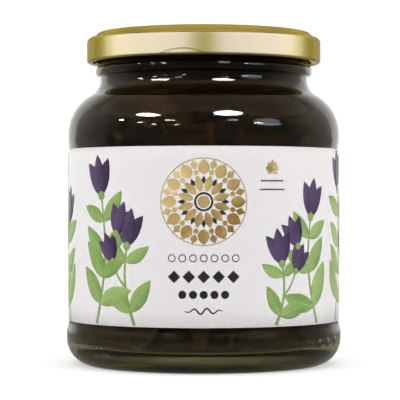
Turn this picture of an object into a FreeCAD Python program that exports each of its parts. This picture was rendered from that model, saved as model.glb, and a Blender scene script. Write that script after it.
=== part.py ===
"""A round food jar with a twist-off lid, filled with beans in brine, with a paper label wrapped round it.

Frame: millimetres, +Z up, the origin at the middle of the ring that the jar stands on, and the label's
front towards -Y. Four sub-parts are made: the glass jar, the beans in brine that fill it, the lid and the
wrap-round label.
"""

import FreeCAD, Part  # noqa: E401
import math
import os

import Sketcher

V = FreeCAD.Vector

# ---------------------------------------------------------------- driving sizes, in millimetres and degrees
SIZE = {
    # jar, outside
    "rim_height": 96.8,  # from the standing ring to the flat of the rim
    "body_radius": 39.72,  # the label panel's own radius
    "shoulder_proud": 0.23,  # how far the shoulder stands out past the panel, to guard the label
    "heel_proud": 0.63,  # how far the heel stands out past the panel
    "neck_radius": 30.5,
    "shoulder_drop": 21.85,  # rim down to the corner between body and shoulder, before it is rounded
    "shoulder_rise": 5.5,  # height of the shoulder's slope between its two corners
    "shoulder_round": 13.2,
    "neck_round": 5.2,
    "panel_fade": 2.0,  # height over which the panel blends into shoulder and heel
    "fade_round": 5.0,
    "heel_height": 10.0,  # standing ring up to the lower end of that blend
    "heel_lift": 1.9,  # rise of the foot's underside from the standing ring to the heel, before it is rounded
    "heel_tuck": 5.85,  # how far the foot turns in from the heel to the standing ring
    "heel_round": 8.1,
    # jar, neck finish
    "bead_drop": 9.4,  # rim down to the top of the carrying bead
    "bead_height": 3.2,
    "bead_proud": 1.4,
    "bead_round": 1.2,
    "finish_step": 0.4,  # how far the wall above the bead stands out past the neck
    "rim_round": 0.8,
    "thread_depth": 1.5,
    "thread_height": 1.6,
    "thread_turn": 54.0,
    # jar, inside
    "body_wall": 2.35,
    "neck_wall": 2.35,
    "floor_thickness": 3.4,
    "floor_round": 6.5,
    "push_up": 2.2,  # rise of the hollow under the base
    "push_up_radius": 12.0,  # its flat middle
    "ring_width": 3.5,  # the flat ring that the jar stands on
    # contents
    "brine_drop": 6.5,  # rim down to the brine's level
    "fill_gap": 0.05,
    # lid
    "sheet": 0.3,
    "lid_depth": 8.8,  # top of the lid's ring down to the bottom of its curl
    "lid_gap": 1.63,  # thread crest to the inside of the skirt
    "lid_round": 1.4,
    "channel_rise": 1.4,  # how far the ring over the rim stands above the lid's shoulder
    "channel_gap": 0.1,  # the finish to the ring's inside, under its top
    "channel_width": 4.2,
    "channel_flare": 1.2,  # how far the ring's outer side slopes out to its foot
    "channel_round": 0.55,
    "panel_drop": 1.0,  # how far the lid's middle lies under the ring
    "button_radius": 13.0,
    "button_rise": 0.5,
    "button_slope": 2.2,
    "curl_round": 0.95,
    "curl_proud": 0.1,
    "lug_count": 4,
    "lug_turn": 24.0,
    "lug_reach": 0.9,  # how far a lug reaches in past the curl
    "lug_lift": 0.2,  # curl's lower edge up to a lug's underside
    "lug_height": 2.0,
    "lug_gap": 0.15,  # lug to the underside of the thread
    "lid_turn": -10.0,  # where the first lug lies, counted from +X
    # label
    "paper": 0.12,
    "glue": 0.03,
    "label_foot": 13.0,  # standing ring up to the label's lower edge
    "label_margin": 12.0,  # shoulder corner down to the label's upper edge
    "lap_turn": 11.0,
    "label_seam": 90.0,  # where the middle of the lap lies, counted from +X: at the back
}


def worked_out(size):
    """Radii and heights that follow from the driving sizes, each written once for all the outlines."""
    s = dict(size)
    s["shoulder_radius"] = s["body_radius"] + s["shoulder_proud"]
    s["heel_radius"] = s["body_radius"] + s["heel_proud"]
    s["ring_outer"] = s["heel_radius"] - s["heel_tuck"]
    s["ring_inner"] = s["ring_outer"] - s["ring_width"]
    s["heel_fade_top"] = s["heel_height"] + s["panel_fade"]
    s["shoulder_corner"] = s["rim_height"] - s["shoulder_drop"]
    s["neck_corner"] = s["shoulder_corner"] + s["shoulder_rise"]
    s["label_top"] = s["shoulder_corner"] - s["label_margin"]
    s["panel_top"] = s["label_top"] + s["panel_fade"] / 2
    s["shoulder_foot"] = s["panel_top"] + s["panel_fade"]
    # the neck finish, worked down from the rim
    s["finish_radius"] = s["neck_radius"] + s["finish_step"]
    s["bead_radius"] = s["neck_radius"] + s["bead_proud"]
    s["bead_top"] = s["rim_height"] - s["bead_drop"]
    s["bead_foot"] = s["bead_top"] - s["bead_height"]
    s["thread_radius"] = s["finish_radius"] + s["thread_depth"]
    s["thread_root"] = s["finish_radius"] - s["thread_depth"] / 2
    # the cavity
    s["cavity_radius"] = s["shoulder_radius"] - s["body_wall"]
    s["bore_radius"] = s["neck_radius"] - s["neck_wall"]
    s["floor_height"] = s["push_up"] + s["floor_thickness"]
    s["inner_shoulder_round"] = s["shoulder_round"] - s["body_wall"]
    s["inner_neck_round"] = s["neck_round"] + s["neck_wall"]
    s["inner_drop"] = parallel_drop(s)
    s["inner_shoulder_corner"] = s["shoulder_corner"] - s["inner_drop"]
    s["inner_neck_corner"] = s["neck_corner"] - s["inner_drop"]
    # the contents
    s["fill_radius"] = s["cavity_radius"] - s["fill_gap"]
    s["fill_bore"] = s["bore_radius"] - s["fill_gap"]
    s["fill_floor"] = s["floor_height"] + s["fill_gap"]
    s["fill_shoulder_corner"] = s["inner_shoulder_corner"] - s["fill_gap"]
    s["fill_neck_corner"] = s["inner_neck_corner"] - s["fill_gap"]
    s["brine_level"] = s["rim_height"] - s["brine_drop"]
    # the lid, seated on the rim
    s["lid_top"] = s["rim_height"] + s["sheet"]
    s["lid_foot"] = s["lid_top"] - s["lid_depth"]
    s["skirt_inner"] = s["thread_radius"] + s["lid_gap"]
    s["skirt_radius"] = s["skirt_inner"] + s["sheet"]
    s["lid_shoulder"] = s["lid_top"] - s["channel_rise"]
    s["lid_shoulder_under"] = s["lid_shoulder"] - s["sheet"]
    s["channel_inner"] = s["finish_radius"] + s["channel_gap"]
    s["channel_outer"] = s["channel_inner"] + s["sheet"]
    s["channel_foot"] = s["channel_outer"] + s["channel_flare"]
    s["channel_foot_inner"] = s["channel_inner"] + s["channel_flare"]
    s["channel_hub"] = s["channel_outer"] - s["channel_width"]
    s["channel_hub_inner"] = s["channel_hub"] + s["sheet"]
    s["lid_panel"] = s["lid_top"] - s["panel_drop"]
    s["lid_panel_under"] = s["lid_panel"] - s["sheet"]
    s["button_foot"] = s["button_radius"] + s["button_slope"]
    s["button_top"] = s["lid_panel"] + s["button_rise"]
    s["button_under"] = s["button_top"] - s["sheet"]
    s["inner_lid_round"] = s["lid_round"] - s["sheet"]
    s["inner_channel_round"] = s["channel_round"] - s["sheet"]
    s["curl_radius"] = s["skirt_radius"] + s["curl_proud"] - s["curl_round"]
    s["curl_height"] = s["lid_foot"] + s["curl_round"]
    s["lug_inner"] = s["curl_radius"] - s["curl_round"] - s["lug_reach"]
    s["lug_outer"] = s["skirt_inner"] + s["sheet"] / 2
    s["lug_foot"] = s["lid_foot"] + s["lug_lift"]
    s["lug_top"] = s["lug_foot"] + s["lug_height"]
    s["lug_round"] = s["lug_height"] / 3
    s["thread_foot"] = s["lug_top"] + s["lug_gap"]
    s["thread_top"] = s["thread_foot"] + s["thread_height"]
    s["thread_round"] = s["thread_height"] / 4
    # the label
    s["label_inner"] = s["body_radius"] + s["glue"]
    s["label_outer"] = s["label_inner"] + s["paper"]
    s["lap_outer"] = s["label_outer"] + s["paper"]
    return s


def parallel_drop(s):
    """How far the cavity's shoulder lies under the outside's, so that the wall is as thick on the slope."""
    run = s["shoulder_radius"] - s["neck_radius"]
    slope = math.hypot(run, s["shoulder_rise"])
    return s["body_wall"] * (slope - s["shoulder_rise"]) / run


WORKED = worked_out(SIZE)


# ---------------------------------------------------------------- document and spreadsheet
doc = FreeCAD.newDocument("bean_jar")
sheet = doc.addObject("Spreadsheet::Sheet", "Sizes")
for row, (alias, number) in enumerate(WORKED.items(), start=1):
    sheet.set(f"A{row}", alias.replace("_", " "))
    sheet.set(f"B{row}", repr(number))
    sheet.setAlias(f"B{row}", alias)
doc.recompute()


# ---------------------------------------------------------------- helpers for bodies and outlines
ROUNDED_SHARE = 0.98  # of a side's length, the most that the roundings at its two ends may take


def new_body(label):
    """An empty PartDesign body with its file's name as its label."""
    body = doc.addObject("PartDesign::Body", "Body_" + label)
    body.Label = label
    return body


def origin_feature(body, role):
    """The body's own origin plane or axis of that role."""
    return next(f for f in body.Origin.OriginFeatures if f.Role == role)


def roundings(spots, radii):
    """For each corner the start, middle and end of its arc and its radius, or None where it is left sharp.

    Two roundings that need more room than the side between them has shrink together until they fit on it.
    """
    count = len(spots)
    sides = [spots[(k + 1) % count] - spots[k] for k in range(count)]
    half_turns = [math.tan(sides[k - 1].getAngle(sides[k]) / 2) for k in range(count)]
    reaches = [radius * half_turn for radius, half_turn in zip(radii, half_turns)]
    shares = []
    for k, side in enumerate(sides):
        wanted = reaches[k] + reaches[(k + 1) % count]
        shares.append(min(1.0, ROUNDED_SHARE * side.Length / wanted) if wanted > 0 else 1.0)
    arcs = []
    for k, spot in enumerate(spots):
        if radii[k] == 0:
            arcs.append(None)
            continue
        share = min(shares[k - 1], shares[k])
        reach, radius = reaches[k] * share, radii[k] * share
        arriving = V(sides[k - 1]).normalize()
        leaving = V(sides[k]).normalize()
        inward = (leaving - arriving).normalize()
        depth = math.hypot(reach, radius) - radius
        arcs.append((spot - arriving * reach, spot + inward * depth, spot + leaving * reach, radius))
    return arcs


def outline(body, name, corners):
    """A closed sketch in the XZ plane of straight sides that join in plain or rounded corners.

    Each corner is (radius alias, height alias, rounding alias). None in place of the first two puts the
    corner on the axis or on the ground line, and None as the third leaves it sharp.
    """
    sketch = body.newObject("Sketcher::SketchObject", name)
    sketch.AttachmentSupport = (origin_feature(body, "XZ_Plane"), [""])
    sketch.MapMode = "FlatFace"
    spots = [V(WORKED.get(across, 0.0), WORKED.get(up, 0.0), 0) for across, up, _ in corners]
    arcs = roundings(spots, [WORKED.get(rounding, 0.0) for _, _, rounding in corners])
    count = len(corners)
    ends = [(spot, spot) if arc is None else (arc[0], arc[2]) for spot, arc in zip(spots, arcs)]
    sides = [
        sketch.addGeometry(Part.LineSegment(ends[k][1], ends[(k + 1) % count][0]), False)
        for k in range(count)
    ]
    for k, (across, up, rounding) in enumerate(corners):
        side_in, side_out = sides[k - 1], sides[k]
        if arcs[k] is None:
            sketch.addConstraint(Sketcher.Constraint("Coincident", side_in, 2, side_out, 1))
            place(sketch, side_out, across, up)
            continue
        start, middle, end, radius = arcs[k]
        curve = sketch.addGeometry(Part.Arc(start, middle, end), False)
        # a sketch keeps its arcs counter-clockwise, so the arc's own start may be the outline's end
        turns_left = (middle - start).cross(end - middle).z > 0
        first, last = (1, 2) if turns_left else (2, 1)
        sketch.addConstraint(Sketcher.Constraint("Tangent", side_in, 2, curve, first))
        sketch.addConstraint(Sketcher.Constraint("Tangent", curve, last, side_out, 1))
        bend = sketch.addConstraint(Sketcher.Constraint("Radius", curve, radius))
        if radius == WORKED[rounding]:
            sketch.setExpression(f"Constraints[{bend}]", f"Sizes.{rounding}")
        tip = sketch.addGeometry(Part.Point(spots[k]), True)
        sketch.addConstraint(Sketcher.Constraint("PointOnObject", tip, 1, side_in))
        sketch.addConstraint(Sketcher.Constraint("PointOnObject", tip, 1, side_out))
        place(sketch, tip, across, up)
    if sketch.solve() != 0:
        raise RuntimeError(f"the outline {name} does not solve")
    return sketch


def place(sketch, geometry, across, up):
    """Ties a geometry's first point to the sheet: across is its radius and up its height, or None for 0."""
    if across is None:
        sketch.addConstraint(Sketcher.Constraint("PointOnObject", geometry, 1, -2))
    else:
        tie = sketch.addConstraint(Sketcher.Constraint("DistanceX", -1, 1, geometry, 1, WORKED[across]))
        sketch.setExpression(f"Constraints[{tie}]", f"Sizes.{across}")
    if up is None:
        sketch.addConstraint(Sketcher.Constraint("PointOnObject", geometry, 1, -1))
    else:
        tie = sketch.addConstraint(Sketcher.Constraint("DistanceY", -1, 1, geometry, 1, WORKED[up]))
        sketch.setExpression(f"Constraints[{tie}]", f"Sizes.{up}")


def turned(body, name, sketch, kind="Revolution", turn=None):
    """Turns a sketch round the upright axis: a whole turn, or the alias's angle, half of it to each side."""
    feature = body.newObject("PartDesign::" + kind, name)
    feature.Profile = sketch
    feature.ReferenceAxis = (sketch, ["V_Axis"])
    if turn is None:
        feature.Angle = 360.0
    else:
        feature.Midplane = True
        feature.setExpression("Angle", f"Sizes.{turn}")
    sketch.Visibility = False
    doc.recompute()
    return feature


def repeated(body, name, feature, count):
    """The feature set out evenly round the upright axis, as often as the sheet's alias says."""
    pattern = body.newObject("PartDesign::PolarPattern", name)
    pattern.Originals = [feature]
    pattern.Axis = (origin_feature(body, "Z_Axis"), [""])
    pattern.Angle = 360.0
    pattern.setExpression("Occurrences", f"Sizes.{count}")
    body.Tip = pattern
    doc.recompute()
    return pattern


# ---------------------------------------------------------------- glass jar
def make_glass():
    """Blown glass: a body with a guarded label panel, a bead and threads, and a hollow under the base."""
    body = new_body("glass_jar")
    outside = outline(body, "jar_outside", [
        ("ring_inner", None, None),
        ("ring_outer", None, None),
        ("heel_radius", "heel_lift", "heel_round"),
        ("heel_radius", "heel_height", "fade_round"),
        ("body_radius", "heel_fade_top", "fade_round"),
        ("body_radius", "panel_top", "fade_round"),
        ("shoulder_radius", "shoulder_foot", "fade_round"),
        ("shoulder_radius", "shoulder_corner", "shoulder_round"),
        ("neck_radius", "neck_corner", "neck_round"),
        ("neck_radius", "bead_foot", None),
        ("bead_radius", "bead_foot", "bead_round"),
        ("bead_radius", "bead_top", "bead_round"),
        ("finish_radius", "bead_top", None),
        ("finish_radius", "rim_height", "rim_round"),
        (None, "rim_height", None),
        (None, "push_up", None),
        ("push_up_radius", "push_up", None),
    ])
    turned(body, "jar_blank", outside)
    thread = outline(body, "thread_section", [
        ("thread_root", "thread_foot", None),
        ("thread_radius", "thread_foot", "thread_round"),
        ("thread_radius", "thread_top", "thread_round"),
        ("thread_root", "thread_top", None),
    ])
    repeated(body, "threads", turned(body, "thread", thread, turn="thread_turn"), "lug_count")
    cavity = outline(body, "jar_inside", [
        (None, "floor_height", None),
        ("cavity_radius", "floor_height", "floor_round"),
        ("cavity_radius", "inner_shoulder_corner", "inner_shoulder_round"),
        ("bore_radius", "inner_neck_corner", "inner_neck_round"),
        ("bore_radius", "rim_height", None),
        (None, "rim_height", None),
    ])
    turned(body, "cavity", cavity, kind="Groove")
    return body


# ---------------------------------------------------------------- contents
def make_contents():
    """Beans in brine: one solid that fills the cavity up to the brine's level, just clear of the glass."""
    body = new_body("beans_in_brine")
    filling = outline(body, "filling", [
        (None, "fill_floor", None),
        ("fill_radius", "fill_floor", "floor_round"),
        ("fill_radius", "fill_shoulder_corner", "inner_shoulder_round"),
        ("fill_bore", "fill_neck_corner", "inner_neck_round"),
        ("fill_bore", "brine_level", None),
        (None, "brine_level", None),
    ])
    turned(body, "brine", filling)
    return body


# ---------------------------------------------------------------- lid
def make_lid():
    """Pressed tinplate: a skirt with a curled edge and four lugs, a ring over the rim and a safety button."""
    body = new_body("lid")
    upper = outline(body, "lid_outside", [
        (None, "curl_height", None),
        ("skirt_radius", "curl_height", None),
        ("skirt_radius", "lid_shoulder", "lid_round"),
        ("channel_foot", "lid_shoulder", None),
        ("channel_outer", "lid_top", "channel_round"),
        ("channel_hub", "lid_top", "inner_channel_round"),
        ("channel_hub", "lid_panel", None),
        ("button_foot", "lid_panel", None),
        ("button_radius", "button_top", None),
        (None, "button_top", None),
    ])
    turned(body, "lid_blank", upper)
    under = outline(body, "lid_inside", [
        (None, "lid_foot", None),
        ("skirt_inner", "lid_foot", None),
        ("skirt_inner", "lid_shoulder_under", "inner_lid_round"),
        ("channel_foot_inner", "lid_shoulder_under", None),
        ("channel_inner", "rim_height", "inner_channel_round"),
        ("channel_hub_inner", "rim_height", "inner_channel_round"),
        ("channel_hub_inner", "lid_panel_under", None),
        ("button_foot", "lid_panel_under", None),
        ("button_radius", "button_under", None),
        (None, "button_under", None),
    ])
    turned(body, "lid_hollow", under, kind="Groove")
    curl = body.newObject("Sketcher::SketchObject", "curl_section")
    curl.AttachmentSupport = (origin_feature(body, "XZ_Plane"), [""])
    curl.MapMode = "FlatFace"
    centre = V(WORKED["curl_radius"], WORKED["curl_height"], 0)
    edge = curl.addGeometry(Part.Circle(centre, V(0, 0, 1), WORKED["curl_round"]), False)
    for kind, alias in (("DistanceX", "curl_radius"), ("DistanceY", "curl_height")):
        tie = curl.addConstraint(Sketcher.Constraint(kind, -1, 1, edge, 3, WORKED[alias]))
        curl.setExpression(f"Constraints[{tie}]", f"Sizes.{alias}")
    tie = curl.addConstraint(Sketcher.Constraint("Radius", edge, WORKED["curl_round"]))
    curl.setExpression(f"Constraints[{tie}]", "Sizes.curl_round")
    turned(body, "curl", curl)
    lug = outline(body, "lug_section", [
        ("lug_inner", "lug_foot", "lug_round"),
        ("lug_outer", "lug_foot", None),
        ("lug_outer", "lug_top", None),
        ("lug_inner", "lug_top", "lug_round"),
    ])
    repeated(body, "lugs", turned(body, "lug", lug, turn="lug_turn"), "lug_count")
    return body


# ---------------------------------------------------------------- label
def make_label():
    """Paper wrapped once round the panel, with its outer end lapped over its inner end at the back."""
    body = new_body("label")
    wrap = outline(body, "wrap_section", [
        ("label_inner", "label_foot", None),
        ("label_outer", "label_foot", None),
        ("label_outer", "label_top", None),
        ("label_inner", "label_top", None),
    ])
    turned(body, "wrap", wrap)
    lap = outline(body, "lap_section", [
        ("label_inner", "label_foot", None),
        ("lap_outer", "label_foot", None),
        ("lap_outer", "label_top", None),
        ("label_inner", "label_top", None),
    ])
    turned(body, "lap", lap, turn="lap_turn")
    return body


# ---------------------------------------------------------------- build, check and write
def facing(body, angle):
    """Turns a finished body about the upright axis, by an angle counted from +X."""
    body.Placement = FreeCAD.Placement(V(0, 0, 0), FreeCAD.Rotation(V(0, 0, 1), angle))
    return body


parts = [
    facing(make_glass(), SIZE["lid_turn"]),
    make_contents(),
    facing(make_lid(), SIZE["lid_turn"]),
    facing(make_label(), SIZE["label_seam"]),
]
doc.recompute()

failed = [o.Name for o in doc.Objects if {"Invalid", "Error"} & set(o.State)]
if failed:
    raise RuntimeError("these objects did not build: " + ", ".join(failed))
os.makedirs("parts", exist_ok=True)
for part in parts:
    shape = part.Shape
    if shape.isNull() or not shape.isValid() or len(shape.Solids) != 1:
        raise RuntimeError(part.Label + " is not one valid solid")
    shape.exportStep(os.path.join("parts", part.Label + ".step"))
    print(f"{part.Label}: {shape.Volume / 1000:.2f} cm3, {len(shape.Faces)} faces")
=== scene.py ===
"""The looks of a shut glass jar of black beans in brine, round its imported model, in metres, with +Z up."""

import math

import bpy
import numpy as np
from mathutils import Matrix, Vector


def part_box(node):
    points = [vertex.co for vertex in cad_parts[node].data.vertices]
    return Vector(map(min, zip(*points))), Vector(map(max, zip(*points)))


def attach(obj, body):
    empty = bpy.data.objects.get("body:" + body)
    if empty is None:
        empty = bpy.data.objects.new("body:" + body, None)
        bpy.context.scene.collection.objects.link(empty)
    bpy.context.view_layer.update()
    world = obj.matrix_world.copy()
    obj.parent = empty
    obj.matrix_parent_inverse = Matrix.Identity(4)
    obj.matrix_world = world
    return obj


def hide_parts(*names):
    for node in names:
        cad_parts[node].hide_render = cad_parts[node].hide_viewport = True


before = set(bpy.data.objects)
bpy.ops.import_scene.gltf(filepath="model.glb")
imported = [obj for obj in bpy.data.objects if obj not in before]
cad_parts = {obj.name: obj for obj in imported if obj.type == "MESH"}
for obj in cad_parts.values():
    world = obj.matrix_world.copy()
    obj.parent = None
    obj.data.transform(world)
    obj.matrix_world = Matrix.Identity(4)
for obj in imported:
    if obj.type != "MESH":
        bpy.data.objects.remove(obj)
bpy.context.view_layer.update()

# ================================================================ camera
# The eye stands level with the middle of the jar, about half a metre in front of the label. A small shift
# leaves the jar a little right of the middle of the frame, and its foot a little nearer the lower edge.
EYE_DISTANCE, EYE_HEIGHT = 0.538, 0.0474
NEAREST_SEEN = 0.01
SENSOR_WIDTH, LENS = 36.0, 163.8
SHIFT_ACROSS, SHIFT_UP = -0.0093, 0.0062
camera_data = bpy.data.cameras.new("eye")
camera_data.sensor_width = SENSOR_WIDTH
camera_data.lens = LENS
camera_data.shift_x = SHIFT_ACROSS
camera_data.shift_y = SHIFT_UP
camera_data.clip_start = NEAREST_SEEN
camera = bpy.data.objects.new("eye", camera_data)
camera.location = (0.0, -EYE_DISTANCE, EYE_HEIGHT)
camera.rotation_euler = (math.radians(90), 0.0, 0.0)
bpy.context.scene.collection.objects.link(camera)
bpy.context.scene.camera = camera

# ================================================================ glass jar
# Clear glass, pressed and blown in one piece: a hollow foot, a heel and a shoulder that guard the label
# between them, a neck with a carrying bead, and four threads under the lid. The inside wall is a little
# uneven, as blown glass is.
MM = 0.001  # sizes are in millimetres, and meshes in metres
jar_corner = np.array(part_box("glass_jar")[1]) / MM
RIM = jar_corner[2]
HEEL_RADIUS = jar_corner[0]
PANEL_RADIUS = HEEL_RADIUS - 0.63
SHOULDER_RADIUS = HEEL_RADIUS - 0.40
NECK_RADIUS = 30.5
FINISH_RADIUS = NECK_RADIUS + 0.4
BEAD_RADIUS = NECK_RADIUS + 1.4
WALL = 2.35
CAVITY_RADIUS = SHOULDER_RADIUS - WALL
BORE_RADIUS = NECK_RADIUS - WALL
PUSH_UP = 2.2
FLOOR = PUSH_UP + 3.4
FLOOR_CORNER = 6.5
SHOULDER_CORNER = RIM - 21.85
NECK_CORNER = SHOULDER_CORNER + 5.5
PANEL_TOP = SHOULDER_CORNER - 11.0
BEAD_TOP = RIM - 9.4
BEAD_FOOT = BEAD_TOP - 3.2
HEEL_TOP = 10.0
FADE, BLEND = 2.0, 5.0  # height and rounding with which the panel blends into the heel and the shoulder
WALL_DROP = 1.35  # how far the cavity's shoulder lies under the outside's
THREAD_FOOT, THREAD_TOP, THREAD_DEPTH = 90.65, 92.25, 1.5
THREAD_COUNT = 4
THREAD_TURN = math.radians(54)
LID_TURN = math.radians(-10)
BLOWN_FROM, BLOWN_TO = 12.0, 80.0  # heights between which the wall was blown, not pressed
GLASS_WANDER, MOULD_WANDER = 0.14, 0.012  # how far the blown inside and the moulded outside stray
JAR_TURNS = 480


def rounded(corners, spacing=0.8, fewest=5):
    """A profile of (radius, height) points, where each corner with a rounding is an arc tangent to its sides.

    The arc starts and ends rounding times tan(half the turn) from the corner, and turns evenly between them.
    """
    spots = np.array([corner[:2] for corner in corners], float)
    runs = [spots[:1]]
    for before, (across, up, rounding), after in zip(spots[:-2], corners[1:-1], spots[2:]):
        spot = np.array([across, up], float)
        if rounding == 0:
            runs.append(spot[None])
            continue
        arriving = (spot - before) / np.linalg.norm(spot - before)
        leaving = (after - spot) / np.linalg.norm(after - spot)
        turn = math.acos(np.clip(arriving @ leaving, -1, 1))
        start = spot - arriving * rounding * math.tan(turn / 2)
        left = np.sign(arriving[0] * leaving[1] - arriving[1] * leaving[0])
        side = np.array([-arriving[1], arriving[0]]) * left
        angles = np.linspace(0, turn, max(fewest, math.ceil(rounding * turn / spacing)))[:, None]
        runs.append(start + rounding * (arriving * np.sin(angles) + side * (1 - np.cos(angles))))
    runs.append(spots[-1:])
    return np.vstack(runs)


def stepped(profile, spacing):
    """The profile with more points along its long straight runs, none further apart than the spacing."""
    lengths = np.linalg.norm(np.diff(profile, axis=0), axis=1)
    counts = np.maximum(1, np.ceil(lengths / spacing).astype(int))
    first = np.repeat(np.arange(len(counts)), counts)
    share = (np.arange(counts.sum()) - np.repeat(np.cumsum(counts) - counts, counts)) / counts[first]
    inner = profile[first] + share[:, None] * (profile[first + 1] - profile[first])
    return np.vstack([inner, profile[-1:]])


def about_axis(angle, radius, height):
    """Places at an angle a from the front, a radius and a height: (radius sin a, -radius cos a, height)."""
    return np.stack(np.broadcast_arrays(radius * np.sin(angle), -radius * np.cos(angle), height), axis=-1)


def turned(profile, turns, reshape):
    """A profile turned round Z from axis to axis, so that both poles are closed: points, quads and end fans.

    The grid is angle by profile point, and reshape(angle, radius, height) moves it. A profile that runs up
    its outer side gives faces that point outwards.
    """
    angle = np.linspace(0, 2 * math.pi, turns, endpoint=False)[:, None]
    radius = np.broadcast_to(profile[1:-1, 0], (turns, len(profile) - 2))
    height = np.broadcast_to(profile[1:-1, 1], radius.shape)
    ring = about_axis(angle, *reshape(angle, radius, height)).reshape(-1, 3)
    poles = np.array([[0, 0, profile[0, 1]], [0, 0, profile[-1, 1]]])
    across = len(profile) - 2
    here = np.arange(turns)[:, None] * across
    there = np.roll(here, -1, axis=0)
    column = np.arange(across - 1)[None]
    corners = [here + column, there + column, there + column + 1, here + column + 1]
    quads = np.stack(corners, axis=-1).reshape(-1, 4)
    first, last = turns * across, turns * across + 1
    start_fan = np.stack([np.full(turns, first), there[:, 0], here[:, 0]], axis=-1)
    end_fan = np.stack([np.full(turns, last), here[:, 0] + across - 1, there[:, 0] + across - 1], axis=-1)
    return np.vstack([ring, poles]), quads, np.vstack([start_fan, end_fan])


def piece(name, points, quads, triangles, materials):
    """A smooth shaded mesh in metres, made from points in millimetres, that rides on the jar's one body."""
    mesh = bpy.data.meshes.new(name)
    faces = [*np.asarray(quads).tolist(), *np.asarray(triangles).tolist()]
    mesh.from_pydata((np.asarray(points) * MM).tolist(), [], faces)
    mesh.polygons.foreach_set("use_smooth", np.ones(len(mesh.polygons), bool))
    for material in materials:
        mesh.materials.append(material)
    made = bpy.data.objects.new(name, mesh)
    bpy.context.scene.collection.objects.link(made)
    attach(made, "root")
    return made


def add(tree, kind, settings=None, **inputs):
    """A new shader node of a kind, with settings, and inputs that are constants or other nodes' outputs.

    An underscore in an input's name stands for a space, and a name such as in_0 for the input of that number.
    """
    made = tree.nodes.new("ShaderNode" + kind)
    for name, value in (settings or {}).items():
        setattr(made, name, value)
    for name, value in inputs.items():
        socket = made.inputs[int(name[3:]) if name.startswith("in_") else name.replace("_", " ")]
        if isinstance(value, bpy.types.NodeSocket):
            tree.links.new(value, socket)
        else:
            socket.default_value = value
    return made


def noise_of(tree, scale, detail, roughness=0.5):
    """Soft noise over the places of the piece itself, of so many grains to the metre."""
    place = add(tree, "TexCoord").outputs["Object"]
    return add(tree, "TexNoise", Vector=place, Scale=scale, Detail=detail, Roughness=roughness).outputs["Fac"]


def mapped(tree, value, start, end, low=0.0, high=1.0):
    """A number that goes evenly from low to high as the value goes from the start to the end."""
    made = add(tree, "MapRange", Value=value, From_Min=start, From_Max=end, To_Min=low, To_Max=high)
    return made.outputs["Result"]


def ramp(tree, factor, stops):
    """The colour output of a colour ramp over a factor, from (position, colour) stops in order."""
    made = add(tree, "ValToRGB", Fac=factor)
    elements = made.color_ramp.elements
    while len(elements) < len(stops):
        elements.new(0.5)
    for element, (position, colour) in zip(elements, stops):
        element.position = position
        element.color = (*colour, 1)
    return made.outputs["Color"]


def material_of(name, **sockets):
    """A material with one Principled BSDF that has the given constants: itself, its tree and its shader."""
    made = bpy.data.materials.new(name)
    made.use_nodes = True
    shader = made.node_tree.nodes["Principled BSDF"]
    for socket, value in sockets.items():
        shader.inputs[socket.replace("_", " ")].default_value = value
    return made, made.node_tree, shader


def bumped(tree, shader, height, strength, distance):
    """Puts a fine relief on a shader's normal."""
    relief = add(tree, "Bump", Strength=strength, Distance=distance, Height=height)
    tree.links.new(relief.outputs["Normal"], shader.inputs["Normal"])


def group_of(name, inputs, outputs):
    """An empty shader node group with the named sockets: the group, its input node and its output node."""
    group = bpy.data.node_groups.new(name, "ShaderNodeTree")
    for socket, (kind, start) in inputs.items():
        group.interface.new_socket(socket, in_out="INPUT", socket_type=kind).default_value = start
    for socket, kind in outputs.items():
        group.interface.new_socket(socket, in_out="OUTPUT", socket_type=kind)
    return group, group.nodes.new("NodeGroupInput"), group.nodes.new("NodeGroupOutput")


def wiping_marks():
    """A group for clean, handled surfaces: soft noise, and a roughness that goes from low to high with it."""
    number = "NodeSocketFloat"
    group, given, result = group_of(
        "wiping_marks",
        {"Scale": (number, 60.0), "Low": (number, 0.0), "High": (number, 0.05)},
        {"Noise": number, "Roughness": number})
    noise = noise_of(group, given.outputs["Scale"], 4.0)
    roughness = mapped(group, noise, 0.30, 0.75, given.outputs["Low"], given.outputs["High"])
    group.links.new(noise, result.inputs["Noise"])
    group.links.new(roughness, result.inputs["Roughness"])
    return group


WIPING_MARKS = wiping_marks()


def marked(tree, shader, scale, low, high):
    """Puts the wiping marks on a shader's roughness, and gives their noise."""
    marks = add(tree, "Group", {"node_tree": WIPING_MARKS}, Scale=scale, Low=low, High=high)
    tree.links.new(marks.outputs["Roughness"], shader.inputs["Roughness"])
    return marks.outputs["Noise"]


def ripple(angle, height, seed):
    """A slow unevenness of glass, about -1 to 1: cosines of whole turns round the jar and of its height.

    A cosine of n waves weighs n^-0.6 and has its own random start, and it slants with the height.
    """
    rng = np.random.default_rng(seed)
    total = 0.0
    for waves in (2, 3, 5, 7, 11):
        phase, tilt = rng.uniform(0, 2 * math.pi, 2)
        total = total + np.cos(waves * angle + phase + 0.09 * height * math.sin(tilt)) / waves**0.6
    return total / 2.2


def from_nearest(angle, count):
    """How far an angle is from the nearest of so many even places, one of which is where the lid stopped."""
    spread = 2 * math.pi / count
    return (angle - LID_TURN + spread / 2) % spread - spread / 2


def blown_share(height):
    """1 up the wall that was blown, and down to 0 within 12 mm of its foot and 8 mm of its top."""
    return np.clip((height - BLOWN_FROM) / 12.0, 0, 1) * np.clip((BLOWN_TO - height) / 8.0, 0, 1)


def blown(angle, radius, height):
    """The cavity's wall, which wanders by the ripple where the glass was blown and not pressed."""
    return radius + GLASS_WANDER * blown_share(height) * ripple(angle, height, 3), height


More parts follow.
